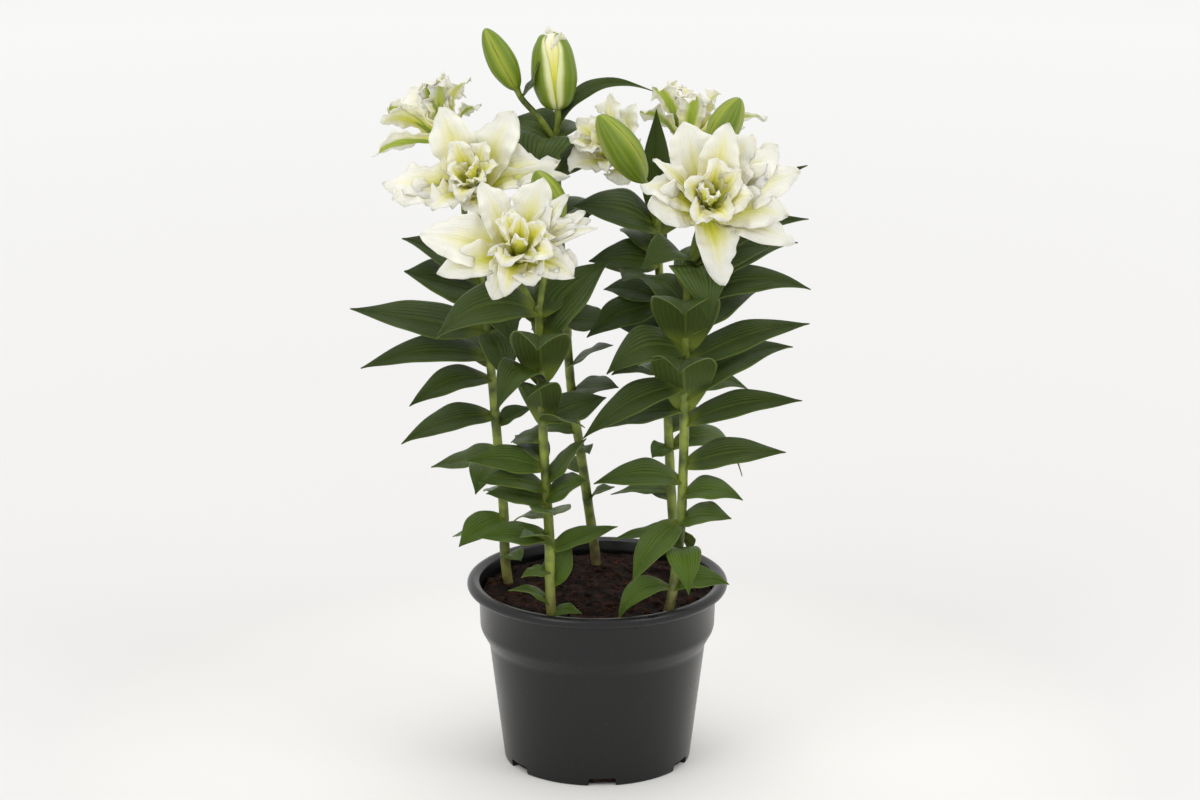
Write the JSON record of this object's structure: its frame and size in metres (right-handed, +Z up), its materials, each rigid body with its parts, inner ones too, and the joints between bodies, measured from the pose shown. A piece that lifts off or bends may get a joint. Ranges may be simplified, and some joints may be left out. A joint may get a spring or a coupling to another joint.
{
  "type": "potted double oriental lily",
  "caption": "Oriental lily in a tapered black nursery pot: leafy upright stems with open double cream-white flowers and green buds, growing from bulbs in dark soil.",
  "frame": {"origin": "centre of the pot's foot, on the surface it stands on", "axes": "+Z up along the pot's axis, -Y to the front where the lowest blooms face the viewer, +X to the viewer's right"},
  "size_m": [0.3655, 0.2488, 0.593],
  "materials": {
    "pot_plastic": "satin",
    "peat_soil": "matte",
    "bulb_scale": "matte",
    "leaf_green": "satin",
    "petal_cream": "matte",
    "bud_green": "satin"
  },
  "bodies": {
    "root": {"pot": "pot_plastic", "soil": "peat_soil", "bulb_back_left": "bulb_scale", "stem_back_left": "leaf_green", "bulb_front_left": "bulb_scale", "stem_front_left": "leaf_green", "bulb_middle_back": "bulb_scale", "stem_middle_back": "leaf_green", "bulb_front_right": "bulb_scale", "stem_front_right": "leaf_green", "bulb_back_right": "bulb_scale", "stem_back_right": "leaf_green", "bloom_back_left": "petal_cream", "bloom_upper_left": "petal_cream", "bloom_front_left": "petal_cream", "bloom_front_right": "petal_cream", "bloom_back_right": "petal_cream", "bloom_upper_right": "petal_cream", "bud_top_left": "bud_green", "bud_opening": "bud_green", "bud_front_left": "bud_green", "bud_front_right": "bud_green", "bud_back_right": "bud_green"}
  },
  "joints": []
}
